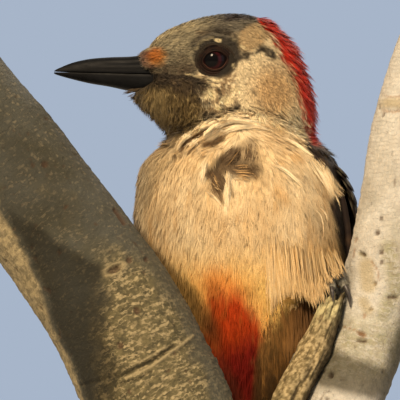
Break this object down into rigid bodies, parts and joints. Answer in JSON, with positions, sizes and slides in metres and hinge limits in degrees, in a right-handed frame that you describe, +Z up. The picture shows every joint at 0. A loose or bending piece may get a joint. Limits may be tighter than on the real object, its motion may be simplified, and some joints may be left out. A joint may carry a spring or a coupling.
{
  "type": "west indian woodpecker model",
  "caption": "Still life-size model of a barred woodpecker clinging to a forked branch, head turned in profile, on a flat display base.",
  "frame": {"origin": "centre of the stand base's underside", "axes": "+Z up; the breast faces -Y, turned 12 degrees towards -X; the bill points along -X"},
  "size_m": [0.2077, 0.15, 0.2745],
  "materials": {
    "face": "short soft feathers, grey-buff with red nasal tufts and red nape",
    "breast": "soft feathers, warm buff with a red belly patch",
    "wing": "stiff vanes, black barred with white",
    "tail": "stiff pointed vanes, black with barred middle and outer feathers",
    "horn": "dark grey horn, satin",
    "eye": "wet gloss, red-brown iris",
    "leg": "grey scaled skin",
    "bark": "pale smooth bark with fine flecks and pits",
    "deadwood": "rough dead wood",
    "plinth": "dark oiled wood",
    "steel": "brushed rod"
  },
  "bodies": {
    "root": {"bill_lower": "horn", "bill_upper": "horn", "claw_left_1": "horn", "claw_left_2": "horn", "claw_left_3": "horn", "claw_left_4": "horn", "claw_right_1": "horn", "claw_right_2": "horn", "claw_right_3": "horn", "claw_right_4": "horn", "eye_left": "eye", "eye_right": "eye", "foot_left": "leg", "foot_right": "leg", "head": "face", "neck": "face", "perch_limb_left": "bark", "perch_limb_right": "bark", "perch_stem": "bark", "perch_stub": "deadwood", "primaries_left": "wing", "primaries_right": "wing", "stand_base": "plinth", "stand_rod_left": "steel", "stand_rod_right": "steel", "tail": "tail", "tarsus_left": "leg", "tarsus_right": "leg", "thigh_left": "breast", "thigh_right": "breast", "trunk": "breast", "wing_left": "wing", "wing_right": "wing"}
  },
  "joints": []
}
